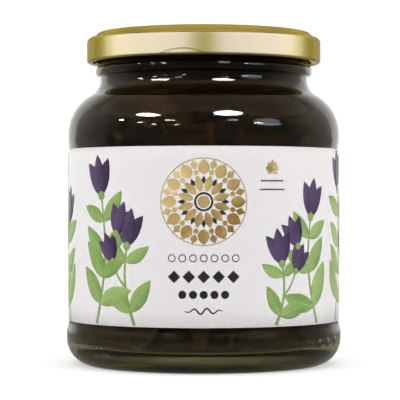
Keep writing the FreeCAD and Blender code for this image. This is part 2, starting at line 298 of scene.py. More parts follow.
CAVITY = rounded([
    (0, FLOOR, 0),
    (CAVITY_RADIUS, FLOOR, FLOOR_CORNER),
    (CAVITY_RADIUS, SHOULDER_CORNER - WALL_DROP, 10.85),
    (BORE_RADIUS, NECK_CORNER - WALL_DROP, 7.55),
    (BORE_RADIUS, RIM - 0.4, 0),
], spacing=1.0)
foot_to_neck = rounded([
    (0, PUSH_UP, 0),
    (12.0, PUSH_UP, 6.0),
    (31.0, 0, 0.8),
    (34.5, 0, 0),
    (HEEL_RADIUS, 1.9, 8.1),
    (HEEL_RADIUS, HEEL_TOP, BLEND),
    (PANEL_RADIUS, HEEL_TOP + FADE, BLEND),
    (PANEL_RADIUS, PANEL_TOP, BLEND),
    (SHOULDER_RADIUS, PANEL_TOP + FADE, BLEND),
    (SHOULDER_RADIUS, SHOULDER_CORNER, 13.2),
    (NECK_RADIUS, NECK_CORNER, 5.2),
    (NECK_RADIUS, BEAD_FOOT, 0.15),
    (BEAD_RADIUS, BEAD_FOOT, 1.2),
    (BEAD_RADIUS, BEAD_TOP, 1.2),
    (FINISH_RADIUS, BEAD_TOP, 0.15),
    (FINISH_RADIUS, THREAD_FOOT - 1, 0),
])
finish = rounded([
    (FINISH_RADIUS, THREAD_FOOT - 1, 0),
    (FINISH_RADIUS, RIM, 0.8),
    (BORE_RADIUS + 1.0, RIM, 0),
], spacing=0.3)
# the rows are finer up the heel, where the knurls and the dots are, and over the threads
PLAIN_ROWS, HEEL_ROWS, FINISH_ROWS, CAVITY_ROWS = 3.2, 0.45, 0.4, 3.8
on_heel = (foot_to_neck[:, 0] > HEEL_RADIUS - 1.5) & (foot_to_neck[:, 1] < HEEL_TOP)
heel_from, heel_to = np.flatnonzero(on_heel)[[0, -1]]
jar_outside = np.vstack([
    stepped(foot_to_neck[: heel_from + 1], PLAIN_ROWS),
    stepped(foot_to_neck[heel_from: heel_to + 1], HEEL_ROWS)[1:],
    stepped(foot_to_neck[heel_to:], PLAIN_ROWS)[1:],
    stepped(finish, FINISH_ROWS)[1:],
])
outer_count = len(jar_outside)

# the mould's marks on the heel: a knurled band to the left, three vent dots to the right
KNURLS_A_TURN, KNURL_HEIGHT, KNURL_REACH, KNURL_DEPTH = 120, 6.4, 1.8, 0.22
KNURLS_FROM, KNURLS_TO = math.radians(296), math.radians(318)
VENT_ANGLES, VENT_HEIGHT, VENT_SIZE, VENT_PROUD = (54, 61, 68.5), 7.9, 0.70, 0.50


def moulded(angle, radius, height):
    """The whole wall: the blown inside, and an outside with the mould's wander, threads, knurls and dots.

    A thread's height is a parabola along it and a trapezium across it. A dot is a bell, e^-(reach / size)^2.
    """
    inside = np.arange(radius.shape[1]) >= outer_count - 1
    inner, _ = blown(angle, radius, height)
    outer = radius + MOULD_WANDER * blown_share(height) * ripple(angle, height, 4)
    along = np.clip(1 - (from_nearest(angle, THREAD_COUNT) / (THREAD_TURN / 2)) ** 2, 0, 1)
    off_middle = np.abs(height - (THREAD_FOOT + THREAD_TOP) / 2) / (THREAD_TOP - THREAD_FOOT)
    outer = outer + THREAD_DEPTH * along * np.clip(1.3 - 2 * off_middle, 0, 1)
    knurled = (angle > KNURLS_FROM) & (angle < KNURLS_TO)
    band = np.clip(1.5 - np.abs(height - KNURL_HEIGHT) / KNURL_REACH, 0, 1) * (height > 0)
    outer = outer - KNURL_DEPTH * knurled * band * (0.5 + 0.5 * np.cos(angle * KNURLS_A_TURN))
    for degrees in VENT_ANGLES:
        reach = np.hypot((angle - math.radians(degrees)) * HEEL_RADIUS, height - VENT_HEIGHT)
        outer = outer + VENT_PROUD * np.exp(-((reach / VENT_SIZE) ** 2))
    return np.where(inside, inner, outer), height


GLASS_TINT = (0.85, 0.885, 0.75, 1)
clear_glass, tree, shader = material_of(
    "clear_glass", Base_Color=GLASS_TINT, Transmission_Weight=1.0, IOR=1.5, Metallic=0.0)
marked(tree, shader, 60.0, 0.015, 0.06)
bumped(tree, shader, noise_of(tree, 90.0, 1.0), 0.25, 0.0002)

# where brine wets the wall, light turns only as much as glass differs from water
wet_glass, tree, shader = material_of(
    "wet_glass", Base_Color=(0.96, 0.98, 0.95, 1), Transmission_Weight=1.0, IOR=1.13, Metallic=0.0)
marked(tree, shader, 45.0, 0.015, 0.05)

# the band that touches the next jar on the line is scuffed, so that it hardly shines
SCUFFED_FROM, SCUFFED_TO = 8.8, 13.2
scuffed_glass, tree, shader = material_of(
    "scuffed_glass", Base_Color=GLASS_TINT, Transmission_Weight=1.0, IOR=1.5, Metallic=0.0,
    Specular_Tint=(0.12, 0.12, 0.12, 1))
marked(tree, shader, 60.0, 0.15, 0.30)

BRINE_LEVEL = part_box("beans_in_brine")[1].z / MM
jar_profile = np.vstack([jar_outside, stepped(CAVITY, CAVITY_ROWS)[::-1]])
points, quads, caps = turned(jar_profile, JAR_TURNS, moulded)
jar = piece("jar_glass", points, quads, caps, [clear_glass, wet_glass, scuffed_glass])
outside = np.arange(len(quads)) % (len(jar_profile) - 3) < outer_count - 1
foot_height = points[quads[:, 0], 2]
wet = ~outside & (foot_height < BRINE_LEVEL)
scuffed = outside & (foot_height > SCUFFED_FROM) & (foot_height < SCUFFED_TO)
on_floor = np.arange(len(caps)) >= JAR_TURNS
jar.data.polygons.foreach_set("material_index", np.concatenate([wet + 2 * scuffed, on_floor]))
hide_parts("glass_jar")

# ================================================================ brine
# The dark cooking brine that fills the jar round the beans. It wets the wall, and its top is level under the
# lid. Starch makes it murky: a thick core shows a few millimetres in, and some has settled on the floor.
WETTING = 0.05  # how far its skin reaches into the glass
CORE_DEPTH = 5.0
CORE_TOP = BRINE_LEVEL - 0.4
CORE_FOOT = 0.7  # over the jar's floor
CLOUDY_ABOVE, CLEAR_BELOW = 18 * MM, 12 * MM
STARCH_TOP, STARCH_THICK = 7.8 * MM, 6.0 * MM
PAINTED_SHADE_FROM, PAINTED_SHADE_TO = 64 * MM, 82 * MM  # heights over which the core's colour darkens: painted shade towards the neck, under the lid


def inset(profile, distance):
    """The profile moved along its own normal, towards the axis for a positive distance."""
    along = np.gradient(profile, axis=0)
    along /= np.linalg.norm(along, axis=1, keepdims=True)
    moved = profile + distance * np.stack([-along[:, 1], along[:, 0]], axis=1)
    moved[:, 0] = np.maximum(moved[:, 0], 0)
    moved[0, 0] = 0
    return moved


def height_of(tree):
    """A point's height over the table, in metres."""
    place = add(tree, "TexCoord").outputs["Object"]
    return add(tree, "SeparateXYZ", Vector=place).outputs["Z"]


def mixed(tree, factor, first, second):
    """A colour between two others by a factor."""
    return add(tree, "Mix", {"data_type": "RGBA"}, Factor=factor, A=first, B=second).outputs["Result"]


# the skin hardly turns light, because the wet glass has done so
brine_look, tree, shader = material_of("brine_liquid", Transmission_Weight=0.98, IOR=1.02, Metallic=0.0)
noise = marked(tree, shader, 70.0, 0.20, 0.34)
cloudy = ramp(tree, noise, [(0.30, (0.42, 0.27, 0.145)), (0.70, (0.62, 0.44, 0.27))])
clearing = mapped(tree, height_of(tree), CLOUDY_ABOVE, CLEAR_BELOW)
clear_foot = mixed(tree, clearing, cloudy, (0.90, 0.82, 0.64, 1))
settling = mapped(tree, height_of(tree), STARCH_TOP, STARCH_THICK)
tree.links.new(mixed(tree, settling, clear_foot, (0.34, 0.29, 0.16, 1)), shader.inputs["Base Color"])
wall_line = stepped(CAVITY, 1.5)
wall_line = wall_line[wall_line[:, 1] < BRINE_LEVEL]
brine_top = [[BORE_RADIUS + WETTING, BRINE_LEVEL], [BORE_RADIUS - 1, BRINE_LEVEL], [0, BRINE_LEVEL]]
points, quads, caps = turned(np.vstack([inset(wall_line, -WETTING), brine_top]), 240, blown)
brine = piece("brine_liquid", points, quads, caps, [brine_look])
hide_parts("beans_in_brine")


def lumpy(angle, radius, height):
    """The core's surface, heaved by slow lumps a millimetre or so high that die away towards the axis."""
    lumps = ripple(angle * 2, height * 3, 8) + ripple(angle * 5, height * 7, 9)
    return radius + 0.6 * lumps * np.clip(radius / 20, 0, 1), height


# the core's foot is drawn down towards the floor, and its side keeps its depth
core_side = inset(stepped(CAVITY, 2.0), CORE_DEPTH)
core_side = core_side[core_side[:, 1] < CORE_TOP]
kept_from = core_side[0, 1] + 2 * CORE_DEPTH
core_side[:, 1] = np.interp(
    core_side[:, 1], [core_side[0, 1], kept_from, CORE_TOP], [FLOOR + CORE_FOOT, kept_from, CORE_TOP])
core_look, tree, shader = material_of("brine_core", Roughness=0.6, Metallic=0.0)
noise = noise_of(tree, 110.0, 5.0)
starch = ramp(tree, noise, [(0.3, (0.055, 0.036, 0.019)), (0.75, (0.30, 0.205, 0.12))])
# painted shade: the core's starch colour is scaled down to 0.06 up towards the neck, where the lid keeps
# light off
painted_shade = mapped(tree, height_of(tree), PAINTED_SHADE_FROM, PAINTED_SHADE_TO, 1.0, 0.06)
shaded_starch = add(tree, "VectorMath", {"operation": "SCALE"}, in_0=starch, Scale=painted_shade)
tree.links.new(shaded_starch.outputs[0], shader.inputs["Base Color"])
points, quads, caps = turned(np.vstack([core_side, [[0, CORE_TOP]]]), 180, lumpy)
core = piece("brine_core", points, quads, caps, [core_look])
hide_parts("beans_in_brine")

# ================================================================ beans
# Cooked black beans, about 11 mm long: plump, notched on one side, packed at random against the glass. They
# are settled by pushing apart three balls that stand for each bean, in a layer just inside the wall.
BEAN_COUNT = 360
BEAN_LENGTH, BEAN_WIDTH, BEAN_THICKNESS = 11.4, 7.6, 6.4
SMALLEST, LARGEST = 0.9, 1.08  # against those sizes
BALL_RADIUS = 3.15
BALL_REACH = 2.5
SETTLING_STEPS = 70
PUSH_SHARE = 0.22
CLEARANCE_LOW, CLEARANCE_HIGH = 0.7, 2.6  # from the wall: beans lie closest at the foot, where they settle
FIRST_SPREAD, STRAY = 4.5, 6.0  # how deep beans start, and how far in from the clearance they may stay
SKIN_GAP = 0.2  # least room between a bean and the glass
BEAN_ROUNDS, BEAN_ROWS = 10, 8
SUNK_OUT_OF_SIGHT = 6.0
TINY = 1e-6
LABEL_LEVELS = [corner[2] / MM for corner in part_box("label")]
rng = np.random.default_rng(21)


def wall_radius(height):
    """The cavity's radius at a height, from its profile above the floor's round corner."""
    above_floor = wall_line[:, 0] > CAVITY_RADIUS - FLOOR_CORNER - 0.1
    upward = np.vstack([wall_line[above_floor], [[BORE_RADIUS, RIM]]])
    order = np.argsort(upward[:, 1], kind="stable")
    return np.interp(height, upward[order, 1], upward[order, 0])


def settled_beans():
    """Centres and long axes of the beans along the wall, after their balls have pushed each other apart."""
    lowest, highest = FLOOR + BALL_RADIUS, SHOULDER_CORNER
    height = rng.uniform(lowest, highest, BEAN_COUNT)
    angle = rng.uniform(0, 2 * math.pi, BEAN_COUNT)
    radius = wall_radius(height) - BALL_RADIUS - rng.uniform(0, FIRST_SPREAD, BEAN_COUNT)
    centre = about_axis(angle, radius, height)
    axis = rng.normal(size=(BEAN_COUNT, 3))
    axis /= np.linalg.norm(axis, axis=1, keepdims=True)
    owner = np.repeat(np.arange(BEAN_COUNT), 3)
    reach = np.tile([-BALL_REACH, 0, BALL_REACH], BEAN_COUNT)[:, None]
    for _ in range(SETTLING_STEPS):
        balls = centre[owner] + axis[owner] * reach
        apart = balls[:, None] - balls[None]
        distance = np.linalg.norm(apart, axis=2) + TINY
        overlap = np.clip(2 * BALL_RADIUS - distance, 0, None)
        overlap[owner[:, None] == owner[None]] = 0
        push = (apart / distance[..., None] * overlap[..., None]).sum(axis=1) * PUSH_SHARE
        out = np.hypot(balls[:, 0], balls[:, 1])
        clearance = np.interp(balls[:, 2], LABEL_LEVELS, [CLEARANCE_LOW, CLEARANCE_HIGH])
        limit = wall_radius(balls[:, 2]) - BALL_RADIUS - clearance
        too_far = np.clip(out - limit, 0, None) - np.clip(limit - STRAY - out, 0, None)
        push[:, :2] -= balls[:, :2] / out[:, None] * too_far[:, None]
        push[:, 2] += np.clip(lowest + CLEARANCE_LOW - balls[:, 2], 0, None)
        push[:, 2] -= np.clip(balls[:, 2] - highest + CLEARANCE_LOW, 0, None)
        push = push.reshape(BEAN_COUNT, 3, 3)
        centre = centre + push.mean(axis=1)
        axis = axis + (push[:, 2] - push[:, 0]) / (2 * BALL_REACH)
        axis /= np.linalg.norm(axis, axis=1, keepdims=True)
    return centre, axis


def bean_shape(rounds, rows):
    """A bean of unit half-length along X: a ball whose middle bends into a notch, on a grid of two angles.

    Its thickness is (1 - x^2)^0.43, and the bend lifts it by a share of 1 - x^2, more on the belly's side.
    """
    along = np.cos(np.linspace(0, math.pi, rows))[1:-1]
    around = np.linspace(0, 2 * math.pi, rounds, endpoint=False)
    thickness = np.sqrt(1 - along**2) ** 0.86
    x = np.repeat(along, rounds)
    y = (thickness[:, None] * np.cos(around)).ravel()
    z = (thickness[:, None] * np.sin(around)).ravel()
    y = y + 0.16 * (1 - x**2) * np.where(y < 0, 1.0, 0.35) - 0.10
    ends = np.array([[1.0, -0.10, 0], [-1.0, -0.10, 0]])
    ring = np.arange(rows - 3)[:, None] * rounds
    here = np.arange(rounds)[None]
    there = np.roll(here, -1, axis=1)
    quads = np.stack([ring + here, ring + rounds + here, ring + rounds + there, ring + there], axis=-1)
    top, last = len(x), (rows - 3) * rounds
    fans = np.vstack([
        np.stack([np.full(rounds, top), here[0], there[0]], axis=1),
        np.stack([np.full(rounds, top + 1), last + there[0], last + here[0]], axis=1),
    ])
    return np.vstack([np.stack([x, y, z], axis=1), ends]), quads.reshape(-1, 4), fans


def maths(tree, operation, *values, clamp=False):
    """A sum worked out on numbers."""
    sockets = {f"in_{number}": value for number, value in enumerate(values)}
    return add(tree, "Math", {"operation": operation, "use_clamp": clamp}, **sockets).outputs[0]


shape, shape_quads, shape_fans = bean_shape(BEAN_ROUNDS, BEAN_ROWS)
centre, axis = settled_beans()
side = np.cross(axis, rng.normal(size=axis.shape))
side /= np.linalg.norm(side, axis=1, keepdims=True)
size = rng.uniform(SMALLEST, LARGEST, (BEAN_COUNT, 1, 1)) / 2
scaled = shape[None] * np.array([BEAN_LENGTH, BEAN_WIDTH, BEAN_THICKNESS]) * size
turn = np.stack([axis, side, np.cross(axis, side)], axis=1)
bean_points = np.einsum("nvk,nkc->nvc", scaled, turn) + centre[:, None]
out = np.hypot(bean_points[..., 0], bean_points[..., 1])
limit = wall_radius(bean_points[..., 2]) - GLASS_WANDER - SKIN_GAP
bean_points[..., :2] *= np.minimum(1, limit / np.maximum(out, TINY))[..., None]
bean_points[..., 2] = np.clip(bean_points[..., 2], FLOOR + 0.1, CORE_TOP)
offset = np.arange(BEAN_COUNT)[:, None, None] * len(shape)
beans_look, tree, shader = material_of("bean_skin", Metallic=0.0, Coat_Weight=0.3)
beans = piece("black_beans", bean_points.reshape(-1, 3), (shape_quads[None] + offset).reshape(-1, 4),
              (shape_fans[None] + offset).reshape(-1, 3), [beans_look])
sink = np.clip((limit - np.minimum(out, limit)) / SUNK_OUT_OF_SIGHT, 0, 1).ravel()
ripeness = np.repeat(rng.uniform(0, 1, BEAN_COUNT), len(shape))
for name, values in (("sink", sink), ("ripeness", ripeness)):
    beans.data.attributes.new(name, "FLOAT", "POINT").data.foreach_set("value", values.astype(np.float32))
# black skins brown with ripeness, in blotches that the brine hides where a bean lies deep
noise = noise_of(tree, 400.0, 4.0)
ripe = add(tree, "Attribute", {"attribute_name": "ripeness"}).outputs["Fac"]
skin = ramp(tree, maths(tree, "MULTIPLY", ripe, noise), [
    (0.0, (0.006, 0.005, 0.005)),
    (0.2, (0.022, 0.015, 0.011)),
    (0.5, (0.120, 0.080, 0.048)),
])
steeped = ramp(tree, ripe, [
    (0.15, (0.008, 0.006, 0.004)),
    (0.55, (0.034, 0.024, 0.013)),
    (1.0, (0.140, 0.098, 0.058)),
])
sunk = add(tree, "Attribute", {"attribute_name": "sink"}).outputs["Fac"]
tree.links.new(mixed(tree, sunk, skin, steeped), shader.inputs["Base Color"])
tree.links.new(mapped(tree, noise, 0.0, 1.0, 0.3, 0.5), shader.inputs["Roughness"])
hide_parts("beans_in_brine")

# ================================================================ lid
# A twist-off lid pressed from thin tinplate under a clear gold lacquer: a safety button in a sunk middle, a
# ring that bears on the rim, a shoulder, and a skirt with its edge rolled inward and pinched into four lugs.
lid_corners = np.array(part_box("lid")) / MM
LID_FOOT, LID_TOP = lid_corners[:, 2]
SKIRT_RADIUS = lid_corners[1, 0]
SHEET = 0.3
CURL_RADIUS = 0.95
CURL_SQUARENESS = 0.75
CURL_CENTRE = np.array([SKIRT_RADIUS - CURL_RADIUS, LID_FOOT + CURL_RADIUS])
LID_SHOULDER = LID_TOP - 1.4
RING_OUTER, RING_INNER, RING_FLARE = 31.3, 27.1, 1.2
PANEL = LID_TOP - 1.0
BUTTON_TOP = PANEL + 0.5
BUTTON_RADIUS, BUTTON_FOOT, BUTTON_ROUND = 13.0, 15.2, 3.0
LUG_COUNT = 4
LUG_HALF_TURN = math.radians(12.5)
LUG_ARCH = 1.9
LUG_DENT = 0.045
LUG_REACH = 0.9
lid_outside = rounded([
    (0, BUTTON_TOP, 0),
    (BUTTON_RADIUS, BUTTON_TOP, BUTTON_ROUND),
    (BUTTON_FOOT, PANEL, BUTTON_ROUND),
    (RING_INNER - 0.15, PANEL, 0.35),
    (RING_INNER, LID_TOP, 0.4),
    (RING_OUTER, LID_TOP, 0.55),
    (RING_OUTER + RING_FLARE, LID_SHOULDER, 0.4),
    (SKIRT_RADIUS, LID_SHOULDER, 1.4),
    (SKIRT_RADIUS, LID_FOOT + 2.8, 0),
], spacing=0.2)
edge_heights = LID_FOOT + np.linspace(2.6, CURL_RADIUS + 0.1, 16)
skirt_edge = np.stack([np.full(len(edge_heights), SKIRT_RADIUS), edge_heights], axis=1)
lid_inside = rounded([
    (SKIRT_RADIUS - SHEET, LID_FOOT + 2.1, 0),
    (SKIRT_RADIUS - SHEET, LID_SHOULDER - SHEET, 1.1),
    (RING_OUTER + RING_FLARE - SHEET, LID_SHOULDER - SHEET, 0.2),
    (RING_OUTER - SHEET, LID_TOP - SHEET, 0.25),
    (RING_INNER + SHEET, LID_TOP - SHEET, 0.25),
    (RING_INNER + SHEET - 0.1, PANEL - SHEET, 0.2),
    (BUTTON_FOOT, PANEL - SHEET, BUTTON_ROUND),
    (BUTTON_RADIUS, BUTTON_TOP - SHEET, BUTTON_ROUND),
    (0, BUTTON_TOP - SHEET, 0),
], spacing=0.4)
# the curl is a superellipse that rolls inward from the skirt, through most of a turn
roll = np.radians(np.linspace(0, -295, 40))[:, None]
round_curl = np.hstack([np.cos(roll), np.sin(roll)])
curl = CURL_CENTRE + CURL_RADIUS * np.sign(round_curl) * np.abs(round_curl) ** CURL_SQUARENESS
lid_profile = np.vstack([stepped(lid_outside, 0.6), skirt_edge, curl, stepped(lid_inside, 1.6)])


def pinched(angle, radius, height):
    """Four arched dents in the skirt's lower edge, and under each the curl squeezed inward into a lug.

    A dent's edge is a parabola, 1 - (angle / half turn)^2 of the arch's height, with a crease a hair wide.
    """
    from_lug = from_nearest(angle, LUG_COUNT)
    arch = LID_FOOT + LUG_ARCH * np.clip(1 - (from_lug / LUG_HALF_TURN) ** 2, 0, 1)
    under_arch = 1 / (1 + np.exp(-(arch - height) / 0.05))
    beside = np.clip((LUG_HALF_TURN * 1.05 - np.abs(from_lug)) / math.radians(2.5), 0, 1)
    on_skirt = (np.abs(radius - SKIRT_RADIUS) < 0.6) & (height < LID_FOOT + 5)
    dented = radius - LUG_DENT * under_arch * beside * on_skirt
    inner_edge = SKIRT_RADIUS - 0.45
    on_curl = (radius < inner_edge) & (height < LID_FOOT + 2.0)
    return dented - LUG_REACH * beside * np.clip((inner_edge - radius) / 0.6, 0, 1) * on_curl, height


gold, tree, shader = material_of(
    "gold_lacquer", Metallic=1.0, Specular_Tint=(0.27, 0.225, 0.04, 1), Coat_Weight=0.25, Coat_Roughness=0.15)
noise = marked(tree, shader, 35.0, 0.24, 0.32)
lacquer = ramp(tree, noise, [(0.0, (0.58, 0.455, 0.075)), (1.0, (0.66, 0.53, 0.115))])
tree.links.new(lacquer, shader.inputs["Base Color"])
bumped(tree, shader, noise_of(tree, 1500.0, 2.0), 0.12, 0.00005)
points, quads, caps = turned(lid_profile[::-1], JAR_TURNS, pinched)
lid = piece("twist_off_lid", points, quads, caps, [gold])
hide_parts("lid")

# ================================================================ label
# A white coated paper label, wrapped once round the recessed panel and glued, its outer end lapped over its
# inner end at the back. Its cut edges are square, and its surface is smooth with a trace of the fibre.
LABEL_FOOT, LABEL_TOP = np.array(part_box("label"))[:, 2] / MM
PAPER = 0.12
LABEL_INNER = PANEL_RADIUS + 0.03
LABEL_RADIUS = LABEL_INNER + PAPER
LAP_TURN = math.radians(11)
WRAP_TURNS, WRAP_ROWS = 480, 12


def wrap_sheets():
    """Inner and outer face of a ribbon round the jar, angle by height, its end lifted on to its start.

    The lift is one paper's thickness, and the lapped end stands off a hair more. The edges waver by a cosine.
    """
    angle = np.linspace(math.pi - LAP_TURN / 2, -math.pi - LAP_TURN / 2, WRAP_TURNS)[:, None]
    lifted = np.clip((-math.pi + LAP_TURN * 0.7 - angle) / (LAP_TURN * 0.2), 0, 1)
    curl_up = 0.05 * np.clip((-math.pi - LAP_TURN * 0.4 - angle) / (LAP_TURN * 0.1), 0, 1) ** 2
    height = np.linspace(LABEL_FOOT, LABEL_TOP, WRAP_ROWS)[None]
    from_middle = np.abs(2 * (height - LABEL_FOOT) / (LABEL_TOP - LABEL_FOOT) - 1)
    waver = 0.012 * np.cos(angle * 9 + 0.4) * from_middle**6
    inner = LABEL_INNER + lifted * (PAPER + 0.02) + curl_up + waver
    return np.array([about_axis(angle, radius, height) for radius in (inner, inner + PAPER)])


def slab(count, rows, closed=False):
    """Quads that close two like grids, an inner and an outer one, into a thin slab with a wall all round.

    A closed slab's last column joins its first, so that it needs no walls there.
    """
    inner, outer = np.arange(count * rows * 2).reshape(2, count, rows)
    if closed:
        inner, outer = (np.vstack([sheet, sheet[:1]]) for sheet in (inner, outer))
    faces = [
        (outer[1:, :-1], outer[:-1, :-1], outer[:-1, 1:], outer[1:, 1:]),
        (inner[:-1, :-1], inner[1:, :-1], inner[1:, 1:], inner[:-1, 1:]),
        (outer[1:, -1], outer[:-1, -1], inner[:-1, -1], inner[1:, -1]),
        (outer[:-1, 0], outer[1:, 0], inner[1:, 0], inner[:-1, 0]),
    ]
    if not closed:
        faces += [
            (outer[0, :-1], inner[0, :-1], inner[0, 1:], outer[0, 1:]),
            (inner[-1, :-1], outer[-1, :-1], outer[-1, 1:], inner[-1, 1:]),
        ]
    return np.vstack([np.stack(face, axis=-1).reshape(-1, 4) for face in faces])


paper, tree, shader = material_of("label_paper", Metallic=0.0, Coat_Weight=0.25, Coat_Roughness=0.25)
marked(tree, shader, 50.0, 0.42, 0.52)
fibre = noise_of(tree, 2600.0, 3.0)
white = ramp(tree, fibre, [(0.0, (0.745, 0.724, 0.746)), (1.0, (0.797, 0.776, 0.798))])
tree.links.new(white, shader.inputs["Base Color"])
bumped(tree, shader, fibre, 0.08, 0.00003)
label = piece("paper_label", wrap_sheets().reshape(-1, 3), slab(WRAP_TURNS, WRAP_ROWS), (), [paper])
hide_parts("label")

# ================================================================ print
# Four inks laid on the paper as thin films: green sprigs that stand on the label's lower edge, purple buds on
# them, a gold rosette at the front, and dark rows of plain ornament. Within a shape the ink pools and pales.
INK_STEP = 0.02  # how far each film stands over the one under it
INK_SUNK = 0.03
films = {"print_green": [], "print_purple": [], "print_gold": [], "print_dark": []}
tones = np.random.default_rng(5)


def film(ink, along, height, layer, tone, closed=False):
    """Adds a closed film of ink over a grid of places: arc length from the front's middle, and height.

    The grid's first axis turns left into its second. The top lies a step per layer over the paper, and the
    underside in the paper. The tone, from dark to light, is kept with each point.
    """
    angle = along / LABEL_RADIUS
    levels = LABEL_RADIUS - INK_SUNK, LABEL_RADIUS + INK_STEP * (layer + 1)
    points = np.array([about_axis(angle, radius, height) for radius in levels])
    shades = np.tile(np.broadcast_to(tone, along.shape).ravel(), 2)
    films[ink].append((points.reshape(-1, 3), slab(*along.shape, closed)[:, ::-1], shades))


def placed(across, up, middle, turn=0.0):
    """Flat places turned about their own origin by an angle and moved to a middle."""
    return (middle[0] + across * math.cos(turn) - up * math.sin(turn),
            middle[1] + across * math.sin(turn) + up * math.cos(turn))


def square(cells):
    """The two coordinates of a grid over the square from -1 to 1."""
    step = np.linspace(-1, 1, cells + 1)
    return np.meshgrid(step, step, indexing="ij")


def disc(ink, middle, radius, layer, tone, cells=6):
    """A round spot: the square bulged into a circle, x * sqrt(1 - y^2 / 2) by y * sqrt(1 - x^2 / 2)."""
    x, y = square(cells)
    across, up = radius * x * np.sqrt(1 - y**2 / 2), radius * y * np.sqrt(1 - x**2 / 2)
    film(ink, *placed(across, up, middle), layer, tone)


def lozenge(ink, middle, width, height, layer, tone, turn=0.0):
    """A four-pointed spot: the square turned by an eighth and stretched."""
    x, y = square(4)
    film(ink, *placed(width / 4 * (x - y), height / 4 * (x + y), middle, turn), layer, tone)


def ring(ink, middle, radius, width, layer, tone, sides=48):
    """A thin closed ring of a radius at its middle line."""
    angle = np.linspace(0, 2 * math.pi, sides, endpoint=False)[:, None]
    edge = radius + width * np.array([[0.5, -0.5]])
    film(ink, middle[0] + edge * np.cos(angle), middle[1] + edge * np.sin(angle), layer, tone, closed=True)


def stroke(ink, along, height, widths, layer, tone):
    """A line of ink along a path, as wide at each point as given, square to the path."""
    run, rise = np.gradient(along), np.gradient(height)
    length = np.hypot(run, rise)
    side = np.outer(widths / 2, [-1, 1])
    edges = along[:, None] - side * (rise / length)[:, None], height[:, None] + side * (run / length)[:, None]
    film(ink, *edges, layer, tone)


def rule(ink, start, end, height, width, layer=0, tone=0.5):
    """A straight level line from one arc length to another, with points often enough to follow the jar."""
    along = np.linspace(start, end, max(2, math.ceil(abs(end - start) / 1.5)))
    stroke(ink, along, np.full(len(along), height), np.full(len(along), width), layer, tone)


def leaf(ink, base, direction, length, width, bend, layer, tone, shading=0.22):
    """A pointed blade from its base: half its width is sin(pi u^0.85)^0.8 along it, and its middle line bows.

    One side of the middle line is a shade lighter than the other.
    """
    u = np.linspace(0, 1, 15)[:, None]
    v = np.linspace(-1, 1, 7)[None]
    half = np.maximum(np.sin(math.pi * u**0.85) ** 0.8 * width / 2, 0.03)
    forward, left = length * u + 0 * v, half * v + bend * length * u * (1 - u)
    film(ink, *placed(forward, left, base, direction), layer, np.clip(tone + shading * v + 0 * u, 0, 1))


def blade(base, direction, length, width):
    """A green leaf with a paler midrib."""
    bend = tones.uniform(-0.25, 0.25)
    leaf("print_green", base, direction, length, width, bend, 1, tones.uniform(0.25, 0.6))
    u = np.linspace(0.02, 0.9, 12)
    path = placed(length * u, bend * length * u * (1 - u), base, direction)
    stroke("print_green", *path, 0.34 * (1.1 - u), 2, 1.0)


def bud(base, direction, length):
    """A closed flower: two outer petals half behind a middle one, on a small green cup."""
    for spread, reach, layer, tone in ((0.42, 0.93, 2, 0.55), (-0.42, 0.93, 3, 0.25), (0.0, 1.0, 4, 0.4)):
        shade = tone + tones.uniform(-0.12, 0.12)
        heading, bend = direction + spread, -0.45 * spread
        leaf("print_purple", base, heading, length * reach, length * 0.40, bend, layer, shade)
    disc("print_green", base, length * 0.11, 5, 0.3)


STEM_STEPS = 25


def sprig(root, height, lean, sway, pairs, leaf_length, bud_length):
    """An upright stem with pairs of leaves, a bud at its tip and a smaller one on a stalk half way up.

    The stem is a line that leans, plus a sway times sin(pi u). Its leaves get smaller upwards.
    """
    share = np.linspace(0, 1, STEM_STEPS + 1)
    along = root + lean * share + sway * np.sin(math.pi * share)
    up = LABEL_FOOT + 0.4 + height * share
    heading = np.arctan2(np.gradient(up), np.gradient(along))
    stroke("print_green", along, up, 1.0 - 0.45 * share, 0, 0.35)
    for pair in range(pairs):
        at = round((0.16 + 0.62 * pair / max(1, pairs - 1)) * STEM_STEPS)
        for side in (-1, 1):
            length = leaf_length * (1 - 0.3 * share[at]) * tones.uniform(0.9, 1.1)
            turn = heading[at] + side * math.radians(tones.uniform(40, 58))
            blade((along[at], up[at]), turn, length, length * 0.42)
    bud((along[-1], up[-1]), heading[-1], bud_length)
    at, side = STEM_STEPS // 2, math.copysign(1, sway)
    reach = np.linspace(0, 1, 10)
    turn = heading[at] - side * 0.75
    stalk = placed(bud_length * 0.75 * reach, side * bud_length * 0.25 * reach**2, (along[at], up[at]), turn)
    stroke("print_green", *stalk, 0.7 - 0.2 * reach, 0, 0.45)
    bud((stalk[0][-1], stalk[1][-1]), turn + side * 0.5, bud_length * 0.82)


SPRIGS = [  # root, height, lean, sway, leaf pairs, leaf length, bud length: right side's, then left side's
    (21.0, 17.0, 2.0, 1.6, 2, 10.5, 10.0),
    (37.0, 30.0, -3.0, -2.4, 3, 13.5, 11.0),
    (50.0, 38.0, 3.0, 2.6, 4, 14.0, 11.5),
    (67.0, 24.0, -2.0, -2.0, 3, 12.0, 10.5),
    (82.0, 34.0, 2.0, 2.2, 3, 13.0, 11.0),
    (-20.0, 22.0, -2.5, -1.8, 2, 11.5, 10.5),
    (-34.0, 36.0, 2.0, 2.4, 4, 13.5, 11.5),
    (-52.0, 28.0, -2.0, -2.4, 3, 13.5, 11.0),
    (-66.0, 39.0, 3.0, 2.4, 4, 13.5, 11.0),
    (-83.0, 25.0, -2.0, -2.0, 3, 12.0, 10.5),
]
for row in SPRIGS:
    sprig(*row)

# the gold rosette: rings of petals, dots and lozenges, paler to the upper left, with dark seeds between them
ROSETTE = (0.0, 47.6)
ROSETTE_RADIUS = 12.1
PETALS = 12
HALF_PETAL = math.pi / PETALS
SEED_TONE, ROW_TONE = 0.2, 0.1


def gilt(middle):
    """The gold's tone at a place in the rosette: light to the upper left and dark to the lower right."""
    towards = (middle[1] - ROSETTE[1]) - (middle[0] - ROSETTE[0])
    return 0.42 + 0.38 * towards / ROSETTE_RADIUS


